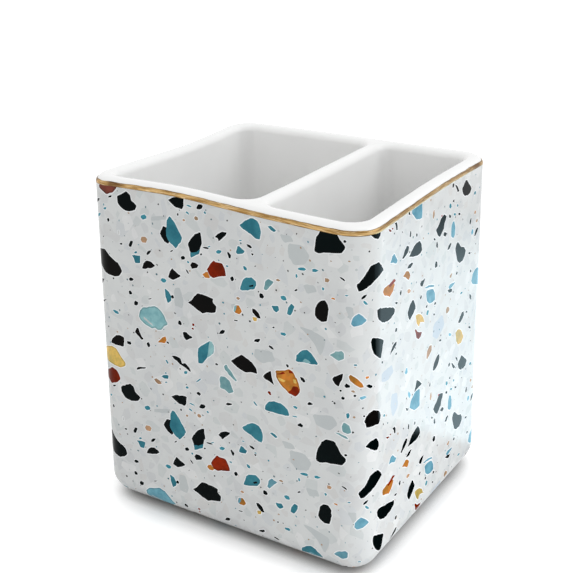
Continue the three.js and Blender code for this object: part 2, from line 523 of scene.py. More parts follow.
chip("sea", 14.2, 61.9, 14.9, 63.8, 15.9, 64.8, 18.4, 65.6, 19.7, 66.2, 21.3, 65.8, 23, 64.2,
     24.3, 61.6, 23, 60.8, 22, 59.4, 20.7, 59, 19.7, 59.6, 18.6, 59.1, 16.3, 59.8, 14.7, 60.8)
chip("ink", 29.3, 60.4, 30, 60.8, 32.7, 59.6, 30.3, 58.2, 29.5, 59)
chip("teal", 34, 54.2, 34.2, 56.7, 34.9, 57.5, 38, 59.9, 39, 59.8, 39.6, 58, 39, 56.3, 37, 54.6,
     35.7, 52.7, 34.2, 52.3)
chip("coal", 12.4, 56.5, 13.2, 57.9, 13.8, 58.1, 14.3, 56.7, 15.6, 55, 14.7, 54.7, 13.6, 55.6)
chip("amber", 20.4, 55.2, 22.4, 57.3, 23.3, 57.9, 23.6, 56.7, 23, 55.6)
chip("coal", 3.5, 51, 4, 52.5, 5.3, 53.8, 7, 54.2, 8.5, 54, 8.6, 52.3, 8.2, 50.9, 5.5, 50.8)
chip("ink", 25.1, 52.2, 26, 52.7, 28.2, 52.3, 28.6, 50.7, 29.6, 51.2, 31, 50.2, 31.5, 48.9,
     30.6, 49.1, 29.6, 49.8, 28, 50.3, 26.8, 51)
chip("straw", -2, 46, -1.5, 47.8, 1.8, 49.4, 3.8, 50, 5.3, 49.6, 6.3, 48.3, 8.4, 45.9, 8.5, 44.8,
     6.3, 43.8, 4, 44.1, 1, 44.4)
chip("ink", 12.4, 44.8, 13, 45.7, 14.5, 46, 15.9, 46.2, 15.7, 45.8, 14, 45.3, 12.8, 44.7)
chip("teal", 21.1, 44.9, 22, 45.5, 23, 45.8, 23.8, 45.7, 23.5, 44.6, 22, 44.4)
chip("tan", 18.5, 43.3, 19.3, 43.8, 20.7, 43.3, 21.1, 42.5, 20.1, 42, 19, 42.4)
chip("ink", 40.9, 90.2, 41.8, 91.3, 43.4, 92.1, 44.8, 92.1, 44.3, 91.3, 42.8, 89.8, 42, 89, 41.7, 89.8)
chip("teal", 48.6, 94.8, 50.1, 96, 51.8, 97.1, 52.8, 97.3, 54, 96.8, 54.7, 95.8, 55.1, 93.8,
     54.7, 92, 53.4, 92.1, 51.8, 93.1, 49.3, 94.2)
chip("teal", 57.2, 95.9, 58, 96.2, 59.6, 95.3, 59, 94.8, 58, 95.1)
chip("teal", 47.3, 87.1, 47.9, 89, 48.6, 89, 50, 87.9, 49.3, 87.1, 47.8, 86.8)
chip("rust", 38, 80.4, 38.6, 81.7, 40.1, 83.5, 41, 83.3, 43, 83.3, 43.8, 81.7, 44.1, 79.9, 43, 79.6,
     41.5, 79.2, 40.1, 78.5, 38.8, 79)
chip("amber", 36.4, 78.8, 37.2, 79.6, 38.1, 80, 39, 78.8, 38.6, 78.3, 37.4, 78.1)
chip("teal", 48.2, 77, 48.6, 78.3, 49.3, 80.2, 50.1, 80.8, 52.2, 81.3, 53.4, 80.2, 53.4, 79.2,
     52.6, 78.1, 50.5, 77.3, 48.9, 76.9)
chip("ink", 51.1, 78.7, 52.4, 79.4, 52.6, 78.9, 51.4, 78.4)
chip("sea", 55.7, 78.8, 56.1, 81, 57, 81.9, 58.8, 81.3, 57.6, 80, 56.3, 78.5)
chip("teal", 57.9, 74.7, 59.9, 75, 60.3, 74, 59.2, 73.1, 58.4, 73.6)
chip("teal", 63.8, 76.5, 64.7, 76, 64.5, 74.8, 63.3, 73.1, 62.5, 73.5, 62.8, 75)
chip("mist", 45.2, 72.3, 46.8, 72.7, 47.4, 72.1, 46.5, 71.2, 45.5, 71.2)
chip("amber", 46.1, 70.8, 46.5, 72.2, 47.8, 72.5, 48.8, 71, 48, 70.1, 46.5, 70.2)
chip("straw", 52, 70.2, 53.4, 70.4, 53.2, 69.2, 52.4, 69)
chip("coal", 52, 72.5, 52.8, 72.6, 53.8, 71.9, 54.5, 70.3, 53.8, 70.1, 52.6, 70.8, 52, 71.7)
chip("coal", 70.6, 75, 70.8, 76.7, 71.3, 78.3, 72.4, 79.2, 73.6, 79.5, 74.5, 78.3, 74.5, 76.3,
     73.9, 73.8, 72.6, 73.5, 71.3, 74.1)
chip("teal", 64.9, 60.8, 65.3, 62.7, 66.8, 64.3, 68.4, 64.8, 69.7, 64, 71.5, 61.7, 71.1, 61.2,
     67.2, 61, 65.5, 60.6)
chip("sea", 74.9, 65, 76.3, 66.2, 78.2, 66.9, 78.9, 66.3, 78.8, 64.8, 77.2, 64, 75.7, 64.6)
chip("ink", 52.2, 63.3, 52.8, 64.1, 54, 64.5, 54.3, 64.2, 53.6, 63.3)
chip("coal", 44.8, 55.8, 47, 57.5, 48.4, 58.5, 50.1, 57.7, 51.8, 56.7, 52.9, 55.4, 53.1, 54,
     51.3, 54, 49.5, 53.4, 47, 54.2, 45.5, 55.2)
chip("sea", 42.5, 53.5, 43.2, 54.2, 44.7, 52.7, 46.7, 50.2, 46.3, 49.8, 44.3, 51.3, 42.8, 52.7)
chip("sea", 40.9, 49, 41.3, 50.2, 42.6, 50.5, 44.3, 49.6, 44.9, 47.9, 45.5, 46.5, 44, 45.5,
     42.8, 46.5, 41.1, 46.6)
chip("coal", 54.9, 53.8, 55.5, 54.8, 57.4, 56, 57.6, 54.4, 58.4, 52.1, 56.8, 52.8, 55.3, 53.3)
chip("ochre", 58.8, 56.5, 61.3, 57.1, 63.2, 58, 64, 57.5, 65.1, 56, 65.7, 54.8, 66.1, 52.5,
     65.5, 51.3, 64.7, 50.6, 63, 50.8, 61.8, 51.7, 60.1, 52.9, 59, 54.6)
chip("coal", 75.4, 58.3, 76.3, 59.4, 78.6, 60.8, 78.8, 60, 78, 58.1, 77.4, 56.7, 76.5, 57.1)
chip("amber", 80.1, 60.4, 80.7, 60.6, 82.8, 59.2, 84.2, 56.9, 83, 57.1, 81.5, 58.1, 80.5, 59)
chip("ink", 68.2, 49.4, 68.8, 50.1, 70.2, 49.8, 69.7, 49.4, 68.6, 49.1)
chip("teal", 55.2, 44.2, 55.5, 45.2, 56.5, 46.7, 58.6, 47.3, 60.5, 47.2, 62.4, 46, 62.9, 44.4,
     62.2, 44, 58, 43.9, 55.7, 43.8)
chip("ink", 42.7, 42.1, 43.4, 42.8, 45, 42.8, 44.7, 42.3, 43.4, 41.8)
chip("sea", 78.4, 45.8, 79, 47, 80.3, 46.3, 80.9, 44.2, 80.1, 43.7, 78.6, 44.2)
chip("sea", 76.3, 43.5, 78, 43.4, 79.7, 42.9, 80.2, 42.2, 79.3, 42.3, 77.2, 43)
chip("ink", 70.5, 91.9, 71.1, 95.4, 72.2, 97.5, 73.4, 98.9, 76, 99.2, 77.4, 96.4, 79, 94.8,
     79, 94, 78, 92.7, 75.1, 92.3, 73.4, 92.1, 71.5, 91.5)
chip("ink", 84, 98.2, 85.2, 99.3, 87.5, 99.7, 88.6, 98, 88.9, 96.8, 87.9, 95.8, 86.7, 96.3, 85.3, 97.3)
chip("rust", 92.6, 96.9, 93.8, 96.5, 94.6, 95.8, 93.4, 95.9)
chip("ink", 96.1, 97.4, 97.3, 97.3, 97.8, 96.3, 97.8, 95, 97, 95.3, 96.8, 96.5)
chip("ink", 103.5, 98.5, 104.5, 98, 104.9, 97, 104, 97.3)
chip("sky", 105.6, 97.3, 106.5, 99, 109, 100, 111.8, 99.4, 112, 96.7, 112, 94, 110.5, 94.1,
     108.6, 94.6, 107.2, 95.8)
chip("ink", 81.8, 84.8, 83.4, 86.3, 84.3, 87.7, 85.3, 89.3, 86.5, 89.8, 88.2, 89.8, 89.5, 88.5,
     90.5, 86.9, 89, 86.5, 86.5, 85.2, 84.7, 84, 83.2, 83.2, 82.4, 83.2)
chip("sky", 94, 87.5, 95.3, 89.2, 96.3, 89.3, 98.3, 86.7, 97.4, 86.2, 95.5, 87.3)
chip("ink", 100.7, 86.5, 102.2, 88.5, 103.4, 89.1, 104.7, 88.5, 104.3, 87.3, 103, 86.7, 101.3, 86.2)
chip("ink", 104.7, 85.6, 105.7, 86.5, 107.6, 87.8, 109.3, 88.1, 111.1, 88, 112.2, 86.5, 112.6, 85,
     111.3, 84.3, 109.5, 84.4, 106.8, 85)
chip("ink", 103.8, 82.9, 104.9, 83.5, 106.5, 83.6, 107.4, 83.1, 105.7, 82.2)
chip("amber", 90.5, 81.3, 90.9, 81.9, 93.4, 82.1, 95.7, 81.7, 97, 81, 95.7, 79.2, 94.3, 78.5,
     92.6, 79.4, 90.9, 80.2)
chip("amber", 101.5, 81.5, 103.4, 82.2, 104.7, 81.7, 105.8, 80.4, 104.9, 79.2, 103, 80.6)
chip("sky", 80.7, 74.6, 80.9, 76, 82.4, 77.5, 83.4, 76.7, 84.7, 75.3, 83, 74.2, 81.3, 73.8)
chip("ink", 87.8, 77.2, 88.8, 77.5, 91.8, 76.5, 94.7, 75.4, 97.3, 74.2, 97, 72.9, 95.1, 72.3,
     92.6, 72.3, 90.5, 72.9, 88.6, 74.4, 87.9, 75.6)
chip("ink", 111.8, 75.6, 112.6, 76.3, 115.1, 76.2, 114.3, 75, 113.2, 74.3, 112.4, 74.8)
chip("ink", 104.7, 70.2, 105.9, 71.9, 107.6, 72.8, 108.4, 72.3, 109.5, 69.7, 108, 68.5, 106.1, 67.4,
     105.3, 68.3)
chip("ink", 85.9, 69, 86, 70, 86.5, 70.3, 88.4, 69.4, 91.3, 67.9, 90.7, 66, 89.9, 63.3, 88.6, 64,
     87, 65.6, 86.1, 67.3)
chip("ink", 94.7, 62, 96.3, 64, 97.6, 64.5, 98.8, 64.3, 98.2, 63.3, 96.3, 62.5)
chip("sky", 115.7, 72, 117.6, 71.9, 120.1, 71.3, 121.5, 69.6, 121.7, 67.5, 119.7, 67.3, 117.6, 67.9,
     116.3, 69.2)
chip("sky", 115.1, 73.5, 117.6, 73.3, 120.9, 72.1, 120.5, 71.7, 117.2, 72.7, 115.1, 73.1)
chip("straw", 109.5, 67.5, 111.3, 67.3, 113.8, 65.8, 115.5, 62.9, 114.7, 63.6, 112.6, 64.4,
     111.8, 63.3, 110.5, 64.6)
chip("rust", 109.3, 63.3, 109.9, 63.4, 111.3, 61.9, 113.8, 60.9, 113, 59.8, 111.8, 59.7, 110.3, 60.6)
chip("tan", 117, 51.7, 117.6, 53.8, 119, 54.7, 120.5, 54.2, 120.5, 52.5, 119, 51.7, 117.6, 51)
chip("coal", 84.2, 47.1, 84.7, 48.5, 85.7, 49.5, 87.2, 49.7, 89.3, 48.8, 89.9, 47.9, 90.5, 46.7,
     89.9, 45.4, 89.3, 44.8, 87.8, 45.3, 84.9, 45.2, 84.6, 46.5)
chip("ink", 111.3, 47.6, 113, 46.3, 114.8, 44.8, 109.9, 44.4, 110.5, 45.4)
chip("ink", 132.7, 97.4, 133.3, 97.2, 134.8, 96, 135.7, 94.7, 134.5, 94.8, 133.7, 95.8)
chip("ink", 137.5, 95, 138.7, 95.8, 140, 96.8, 141, 96.3, 142.3, 95.1, 144.3, 93.3, 143.5, 92.1,
     141.8, 91.8, 139.8, 92.1, 138.3, 93.1)
chip("ink", 120.9, 87.9, 122.3, 88.8, 124.8, 90.8, 125.8, 90.8, 127.6, 89.8, 126.4, 88.1, 126, 86.5,
     123.5, 85.1, 122, 86)
chip("sky", 131, 83.3, 131.1, 85.8, 132, 87, 133.1, 86.7, 133.8, 84.6, 133.7, 82.5, 132.7, 81.9,
     131.4, 82.7)
chip("ink", 125.8, 85.3, 126.6, 85.6, 127.7, 85.2, 128.2, 84.6, 127.3, 84.1, 126, 84.6)
chip("ink", 128.8, 79.6, 129.5, 80.6, 131, 81, 131.5, 80.6, 130.4, 79.4)
chip("ink", 147.7, 77.5, 148.3, 79.2, 149.5, 79.8, 150.6, 79.4, 149.8, 78.3, 148.5, 77.7)
chip("ink", 120.7, 78.1, 121.4, 78.8, 122.5, 78.3, 122.6, 76.9, 121.2, 76.9)
chip("ink", 134.3, 78.3, 134.8, 79.4, 135.8, 79.8, 136.8, 79, 138.5, 77.3, 140.6, 76.7, 141.8, 75,
     141.2, 73.8, 139.8, 72.7, 137.7, 72.8, 136, 73.8, 135.2, 75.8)
chip("sky", 130.4, 67.9, 131.4, 68.5, 135.2, 67.9, 134.3, 67.5, 132.7, 67.1, 131.4, 66.9)
chip("ink", 129.8, 67.2, 131.8, 66.9, 133.3, 66.5, 132.7, 65.6, 131.2, 66)
chip("sky", 146.8, 63.8, 147.7, 66, 149.3, 66.8, 151.4, 66.8, 153, 65.8, 154, 63, 154.2, 60,
     152.3, 61, 149.3, 62, 147.7, 62.7)
chip("coal", 138, 54, 139.2, 55.2, 140.6, 56.3, 142, 56.2, 142.3, 54.6, 141, 53.8, 139.4, 53.2)
chip("straw", 136.5, 51.5, 138.5, 51.8, 140.5, 50.8, 142.6, 47.8, 141, 46.4, 138.6, 46.6, 137.2, 48.6)
chip("coal", 121.6, 46, 122.2, 47.8, 124, 49.2, 125.6, 49.4, 125.9, 47.6, 124.6, 45.8, 122.6, 45.4)
patch("rust", 59, 55.6, 61.3, 56.7, 61.8, 56.3, 59.7, 55.4)
patch("rust", 62.6, 57.5, 63.8, 57.7, 64.2, 57, 63, 56.8)
patch("rust", 62.6, 51.3, 63.4, 52, 64, 53.2, 65.5, 53.4, 66.1, 52.3, 65.3, 51, 64.7, 50.4, 63, 50.8)
patch("straw", 59.5, 54.6, 61.8, 54.4, 61.3, 53.7, 59.7, 53.8)
patch("straw", 64, 55.4, 64.9, 55.4, 65.1, 54.4, 64.3, 54.4)
patch("rust", 93.4, 81.9, 95.1, 82.3, 96.3, 82.7, 97.6, 81.9, 95.5, 81.3, 94, 81)
patch("sea", 66.8, 61, 67.8, 62.3, 69.7, 61.3)
patch("sea", 46.1, 70.8, 46.5, 72.2, 47.2, 72.3, 46.9, 71.2, 46.5, 70.3)
patch("mist", 16, 62, 17, 61.6, 19, 60.4, 19.2, 59.9, 17.5, 60.6, 16, 61.4)
patch("sea", 38, 59.9, 39, 59.8, 39.6, 58, 39, 56.3, 37, 54.6, 37.6, 57.5)
print(len(chips), "drawn chips")

# %% [markdown]
# The smaller chips are only an ink, a place, a length, a breadth and a turn in degrees. A
# helper gives each one a few uneven corners, from a random generator whose seed is fixed,
# so that the sheet comes out the same in every run.

# %% Small chips
crumbs = random.Random(7)


def small_chip(ink, along, up, length, breadth, turn):
    corners = crumbs.choice((5, 6, 7))
    tilt = math.radians(turn)
    points = []
    for i in range(corners):
        angle = 2 * math.pi * (i + crumbs.uniform(-0.25, 0.25)) / corners
        reach = crumbs.uniform(0.95, 1.3) / 2
        x = length * reach * math.cos(angle)
        y = breadth * reach * math.sin(angle)
        points.append((along + x * math.cos(tilt) - y * math.sin(tilt),
                       up + x * math.sin(tilt) + y * math.cos(tilt)))
    chips.append((ink, points, "crumb"))


for values in (
    ("ink", 6.3, 95.6, 1.5, 0.5, 20), ("teal", 4.3, 91.9, 1.2, 0.7, 10), ("ink", 0, 93.1, 4.2, 0.9, 28),
    ("teal", 0, 88.8, 4.6, 0.8, 26), ("ink", 5.2, 88.7, 0.8, 1.1, 0), ("teal", 17.6, 91.7, 2, 1.3, 20),
    ("tan", 17.3, 85.1, 2.1, 1.6, 10), ("ink", 12.8, 83.1, 2.2, 1, 60), ("ink", 9.3, 82.4, 0.9, 0.6, 10),
    ("mist", 8.7, 85.6, 0.5, 1.2, 0), ("teal", 14.3, 80.9, 1, 0.6, 30), ("ink", 18.8, 81.7, 2, 0.8, 42),
    ("teal", 23.5, 74.5, 1.9, 1.1, 10), ("coal", -0.5, 69, 5.2, 1.3, 25), ("coal", 0, 62.9, 5, 0.6, 27),
    ("ink", 12.2, 72.5, 1.7, 0.9, 5), ("ink", 11.7, 68.4, 1.1, 1.1, 0), ("ink", 13.5, 65.6, 1.5, 1.3, 20),
    ("coal", 18.5, 68, 1.2, 0.3, 20), ("ink", 26.3, 70.3, 0.9, 0.9, 0), ("teal", 6, 61.3, 2, 0.9, -12),
    ("ink", 28.4, 63.1, 1.2, 1.5, 20), ("rust", 32.9, 63.5, 0.8, 0.8, 0),
    ("rust", 32.7, 62.3, 0.7, 0.6, 0), ("ink", 10.2, 52.6, 1.5, 1.1, 0),
    ("ink", 17.2, 53.7, 1.1, 1.4, 10), ("teal", 29.7, 48.3, 1.3, 0.8, 30),
    ("teal", 23.4, 50, 0.6, 1.5, 40), ("teal", 22.8, 46.3, 0.9, 0.4, 20),
    ("teal", 22.8, 43.4, 0.8, 0.5, 10), ("teal", 33, 97.3, 1.7, 0.4, -10),
    ("teal", 32.4, 95.4, 1.2, 0.6, -15), ("ink", 36.4, 97.6, 2, 1.2, 25),
    ("tan", 35.1, 94.3, 1.2, 1.1, 0), ("tan", 31.1, 93.2, 0.8, 0.6, 0), ("ink", 29.2, 94.5, 0.5, 0.7, 0),
    ("teal", 38, 96.3, 0.8, 0.7, 0), ("ink", 37.9, 86.6, 1.8, 0.5, 5), ("teal", 38.9, 87.1, 1.2, 0.3, 30),
    ("ink", 30.3, 82.4, 1.5, 1.1, 25), ("coal", 33.8, 80.9, 2.5, 1.7, 10),
    ("teal", 32, 81.5, 0.8, 0.7, 0), ("ink", 31.6, 78.7, 0.5, 1.6, 38), ("ink", 36.3, 84.5, 0.8, 0.5, 30),
    ("ink", 26.6, 83.6, 1.1, 0.4, 35), ("ink", 33.9, 42.8, 1.3, 1, 0), ("teal", 30, 43.7, 1, 0.7, 15),
    ("teal", 34, 47, 2.4, 0.4, 40), ("ink", 24, 56, 1, 0.7, 0), ("ink", 40.2, 53.5, 0.9, 0.6, 0),
    ("ink", 42.3, 63.6, 2.2, 0.9, 35), ("teal", 42, 86.3, 1.6, 1, 20), ("ink", 45.2, 86, 1, 1.9, 25),
    ("ink", 51.5, 89.6, 1.6, 0.8, -30), ("ink", 52.4, 87.6, 0.7, 0.6, 0),
    ("teal", 48.8, 90.7, 0.9, 0.4, 10), ("teal", 50, 83.3, 1.3, 0.9, -30),
    ("teal", 44.5, 82.8, 0.8, 0.5, 0), ("tan", 59.9, 82.1, 1.3, 0.6, 10), ("ink", 46, 79.6, 1.2, 1.2, 40),
    ("ink", 54.9, 76.7, 1.4, 1.4, 0), ("teal", 61.5, 77.5, 1.6, 1.2, 0), ("tan", 47.6, 74.5, 1.1, 0.8, 0),
    ("coal", 46.7, 68, 1.3, 0.4, 5), ("ink", 58.4, 68.7, 0.7, 0.5, 20), ("teal", 66.9, 86.5, 2.2, 0.8, 8),
    ("teal", 70.8, 86.9, 1.9, 0.8, 12), ("tan", 74, 85, 1.4, 1.2, 0), ("teal", 65.4, 84.3, 0.7, 1, 0),
    ("ink", 65.3, 80.5, 1.1, 0.5, 30), ("teal", 79.5, 82, 0.9, 0.4, 0), ("teal", 73, 82.5, 0.7, 0.8, 0),
    ("amber", 75.9, 80.5, 1.2, 0.5, 0), ("ink", 78.4, 86.2, 1.5, 0.5, -28),
    ("teal", 61.2, 67.5, 1.7, 0.9, 5), ("ink", 57.5, 62.8, 1.7, 0.8, -22),
    ("ink", 62.4, 58.8, 1.1, 0.7, -50), ("ink", 67, 56, 1.6, 1, -40), ("ink", 79.8, 57.4, 1.4, 1.3, -30),
    ("ink", 85.6, 57, 1.8, 0.9, -25), ("ink", 78, 55.8, 0.6, 0.6, 0), ("ink", 78.6, 53.8, 1, 0.9, 30),
    ("ink", 81.7, 54.8, 0.7, 0.6, 0), ("tan", 81.3, 56, 1.2, 0.6, -15), ("amber", 84.9, 59.6, 1, 0.7, 0),
    ("ink", 75.7, 52.1, 0.6, 0.4, 0), ("teal", 81.8, 63.4, 1, 0.5, 0),
    ("rust", 56.8, 49.4, 1.4, 0.9, -30), ("teal", 64.5, 44.5, 1.6, 0.4, 5),
    ("teal", 64.7, 47.3, 1.3, 0.7, -10), ("teal", 52.3, 44.9, 1.5, 0.5, -45),
    ("ink", 66.2, 42.4, 1.7, 1.1, 10), ("teal", 80, 49, 0.9, 1.4, 0), ("ink", 79, 95.9, 0.7, 0.6, 0),
    ("ink", 105.2, 91.7, 1, 1.8, -10), ("ink", 109, 90.3, 0.9, 1, 0), ("tan", 119.1, 92.9, 1.1, 2.2, 0),
    ("ink", 83.8, 81.7, 1.7, 0.7, 35), ("teal", 84.2, 80, 1.5, 0.6, -45), ("ink", 100.4, 77.4, 1, 1.4, 0),
    ("ink", 98, 75.4, 1.5, 0.6, -15), ("tan", 105.2, 76, 2, 1, -20), ("ink", 98.2, 67.8, 1.1, 1, 0),
    ("ink", 90.7, 61.8, 1, 0.7, -30), ("ink", 98.4, 60.9, 0.9, 0.7, -20),
    ("coal", 112.5, 71.6, 1.1, 1, 0), ("coal", 116.4, 67.5, 1, 0.8, 0), ("teal", 117, 65.4, 1.4, 1.4, 0),
    ("sky", 83.8, 54.1, 1.8, 0.8, 10), ("sky", 104.8, 53.1, 1.7, 1.7, -30),
    ("teal", 92.3, 45.8, 1.2, 0.8, -30), ("sky", 106.9, 45.1, 1.3, 2.2, 25),
    ("ink", 84.2, 48.8, 0.6, 0.6, 0), ("rust", 95, 96.3, 0.9, 0.5, -20),
    ("coal", 131.3, 97.4, 1.3, 1.3, 0), ("ink", 132, 92.9, 1.1, 0.8, -20),
    ("teal", 129.9, 92.1, 1.6, 1.2, -30), ("teal", 134.8, 90.8, 1, 0.7, -20),
    ("teal", 147, 91, 1.4, 1, -10), ("ink", 129.8, 89.1, 1.6, 0.8, -30),
    ("teal", 133.2, 88.7, 1.5, 0.8, -20), ("ink", 136.2, 87.9, 1.5, 0.7, -25),
    ("ink", 120.2, 85.5, 1.4, 0.6, -35), ("ink", 121.9, 83.4, 1.1, 2, 10),
    ("ink", 144.5, 83.2, 1.1, 1.7, -10), ("tan", 147.6, 85, 1.3, 1, 0), ("tan", 149.1, 82, 1.2, 1, 0),
    ("sky", 146, 79.4, 1.6, 1.6, 0), ("ink", 144.6, 73.5, 1.6, 0.7, -15), ("tan", 131.9, 71, 1.7, 1.2, 0),
    ("ink", 135.9, 70.3, 1.3, 1, -20), ("ink", 121.8, 66.3, 1.1, 0.8, -10),
    ("ink", 121.3, 63.2, 1, 0.6, -30), ("coal", 146, 67.4, 1.2, 0.9, 0), ("tan", 130.4, 61, 2.2, 1.9, 10),
    ("coal", 146.6, 59, 1, 2.6, 30), ("coal", 126, 53.3, 1.6, 0.8, -10),
    ("sky", 132.5, 52.5, 2.4, 0.9, -30), ("teal", 139.8, 62.7, 1.5, 0.7, -5),
    ("coal", 144.2, 55.1, 1.3, 0.7, -10), ("coal", 146.8, 49, 1.9, 0.8, -20),
    ("coal", 138, 42.4, 0.8, 2.4, 35), ("coal", 120, 42, 0.8, 1.2, -10),
    ("rose", 124.4, 90.9, 0.9, 0.5, 0),
):
    small_chip(*values)
print(len(chips), "chips in one repeat")

# %% [markdown]
# Between the chips lies stone dust: hundreds of crumbs under a millimetre. In the ground lie
# pale shards a few millimetres long. Nobody writes those down. A Geometry Nodes tree
# scatters points over a flat sheet with a fixed seed, and puts a small flat flake on each,
# turned and sized at random. Its sizes are named inputs, so one tree makes both.

# %% Stone dust on the flat sheet
whole_turn = 6.283


def socket_id(tree, name):
    return next(item.identifier for item in tree.interface.items_tree if item.name == name)


def new_tree(name, **kinds):
    """A geometry tree's own geometry, and its named inputs, as wires."""
    tree = bpy.data.node_groups.new(name, "GeometryNodeTree")
    tree.interface.new_socket("Geometry", in_out="OUTPUT", socket_type="NodeSocketGeometry")
    kinds = {"Geometry": "Geometry", **kinds}
    for label, kind in kinds.items():
        tree.interface.new_socket(label, in_out="INPUT", socket_type="NodeSocket" + kind)
    sockets = tree.nodes.new("NodeGroupInput").outputs
    return [Wire(tree, sockets[label]) for label in kinds]


def random_value(start, low, high, seed):
    inputs = {2: low, 3: high, "Seed": seed}
    return start.node("FunctionNodeRandomValue", {"data_type": "FLOAT"}, inputs, output=1)


def close_tree(copies, material):
    """Makes the copies real, gives them their material and sends them out of the tree."""
    real = copies.node("GeometryNodeRealizeInstances", None, {0: copies})
    painted = real.node("GeometryNodeSetMaterial", None, {"Geometry": real, "Material": material})
    end = painted.tree.nodes.new("NodeGroupOutput")
    painted.tree.links.new(painted.socket, end.inputs[0])
    return painted.tree


def run_tree(name, mesh, tree, **values):
    """Runs a tree on a mesh and returns the result as a plain mesh."""
    carrier = new_object(name + "_carrier", mesh)
    modifier = carrier.modifiers.new(name, "NODES")
    modifier.node_group = tree
    for label, value in values.items():
        modifier[socket_id(tree, label)] = value
    depsgraph = bpy.context.evaluated_depsgraph_get()
    result = bpy.data.meshes.new_from_object(carrier.evaluated_get(depsgraph))
    result.name = name
    bpy.data.objects.remove(carrier)
    return result


sheet, spacing, density, smallest, largest, corners, seed, material = new_tree(
    "stone_dust", Spacing="Float", Density="Float", Smallest="Float", Largest="Float",
    Corners="Int", Seed="Int", Finish="Material")
scatter = sheet.node("GeometryNodeDistributePointsOnFaces", {"distribute_method": "POISSON"}, {
    "Mesh": sheet, "Distance Min": spacing, "Density Max": density, "Seed": seed})
flake = sheet.node("GeometryNodeMeshCircle", {"fill_type": "NGON"}, {"Vertices": corners, "Radius": 0.5})
size = random_value(sheet, smallest, largest, seed)
slimness = random_value(sheet, 0.4, 1.0, 5)
scale = sheet.node("ShaderNodeCombineXYZ", None, {"X": size, "Y": size * slimness, "Z": 1.0})
facing = sheet.node("ShaderNodeCombineXYZ", None, {"Z": random_value(sheet, 0.0, whole_turn, seed)})
flakes = sheet.node("GeometryNodeInstanceOnPoints", None, {
    "Points": scatter, "Instance": flake, "Rotation": facing, "Scale": scale})
tree = close_tree(flakes, material)

flat = bpy.data.meshes.new("flat_sheet")
flat.from_pydata([(along, up, 0) for along, up in sheet_corners], [], [(0, 1, 2, 3)])
shards = run_tree("pale_shards", flat.copy(), tree, Spacing=2.9, Density=0.35, Smallest=1.6, Largest=5.2,
                  Corners=7, Seed=4, Finish=glaze)
dust = run_tree("stone_dust", flat, tree, Spacing=2.2, Density=0.2, Smallest=0.25, Largest=0.75,
                Corners=5, Seed=11, Finish=glaze)
print(len(shards.polygons), "pale shards and", len(dust.polygons), "crumbs of stone dust")

# %% [markdown]
# Now the flat sheet is cut up. A constrained Delaunay triangulation takes every outline at
# once and returns triangles that never cross one, and for each triangle the outlines that
# hold it. The topmost outline gives the triangle its colour, so the chips have edges as
# crisp as print, and no image is needed. A drawn chip has a pale halo, where the glaze has
# crept back, and its ink is laid a little dark. About one chip in ten, where an outline drawn
# farther in doesn't cross itself, has a lighter middle too. The pattern is printed in rows,
# and in the second row some inks come out a little deeper, as in a second pull of a screen.
#
# Vector noise starts from the clock unless it is given a seed, so it gets one here, and the
# stone breaks the same way in every run.

# %% Cut the sheet
break_seed = 1
noise.seed_set(break_seed)
# In the second row the chip under the gold line goes back to plain rust; its first-row copies carry painted
# shade.
second_pull = {"coal": "ink", "sea": "lagoon", "shaded_rust": "rust"}
halo_width = 0.26
crumb_halo = 0.2
edge_width = 0.4
edge_shade, middle_shade = 0.78, 1.08
smallest_middle = 2.5
corner_cut = 0.13
longest_side = 0.9
breaks = ((1.3, 0.2), (3.7, 0.12))
shard_scale, shard_seed = 2.1, 40.0
ground = paint("#d9dbda")
halo_ink = paint("#eef0f0")
dust_inks = ("ink", "coal", "tan", "teal", "mist", "mist", "mist", "slate", "mist")
shard_inks = [paint(code) for code in ("#d1d3d3", "#d4d5d4", "#cfd3d2", "#e1e2e1", "#d5d5d3", "#d2d5d6")]
shard_order, faint_order, dust_order, halo_order, chip_order = 1, 1.2, 1.5, 2, 10


def with_neighbours(points):
    """Each point between the one before it and the one after it."""
    return zip(points[-1:] + points[:-1], points, points[1:] + points[:1])


def cut_corners(points):
    rounded = []
    for before, (x, y), after in with_neighbours(points):
        rounded += [(x + (end[0] - x) * corner_cut, y + (end[1] - y) * corner_cut) for end in (before, after)]
    return rounded


def roughen(points, seed):
    """Breaks long sides and shakes the points a little, as a broken stone edge does."""
    rough = []
    for before, (x, y), (next_x, next_y) in with_neighbours(points):
        pieces = max(1, round(math.hypot(next_x - x, next_y - y) / longest_side))
        for piece in range(pieces):
            here = Vector((x + (next_x - x) * piece / pieces, y + (next_y - y) * piece / pieces, 0))
            shake = Vector()
            for fineness, depth in breaks:
                shake += noise.noise_vector(here * fineness + Vector((0, 0, seed))) * depth
            rough.append(tuple((here + shake).xy))
    return rough


def area_of(points):
    return sum(points[i - 1][0] * y - x * points[i - 1][1] for i, (x, y) in enumerate(points)) / 2


def turn_of(a, b, c):
    """Above 0 where the way from a over b to c turns left, and below 0 where it turns right."""
    return (b[0] - a[0]) * (c[1] - a[1]) - (b[1] - a[1]) * (c[0] - a[0])


def crosses_itself(points):
    count = len(points)
    sides = [(points[i - 1], points[i]) for i in range(count)]
    for i, (a, b) in enumerate(sides):
        for c, d in sides[i + 2:count - 1 if i == 0 else count]:
            if turn_of(a, b, c) * turn_of(a, b, d) < 0 and turn_of(c, d, a) * turn_of(c, d, b) < 0:
                return True
    return False


def grown(points, distance):
    """The outline moved outwards, or inwards by a negative distance."""
    side = distance if area_of(points) > 0 else -distance
    moved = []
    for before, (x, y), after in with_neighbours(points):
        along = Vector((after[0] - before[0], after[1] - before[1])).normalized()
        moved.append((x + along.y * side, y - along.x * side))
    return moved


def shade(colour, factor):
    return tuple(min(1.0, c * factor) for c in colour[:3]) + (1.0,)


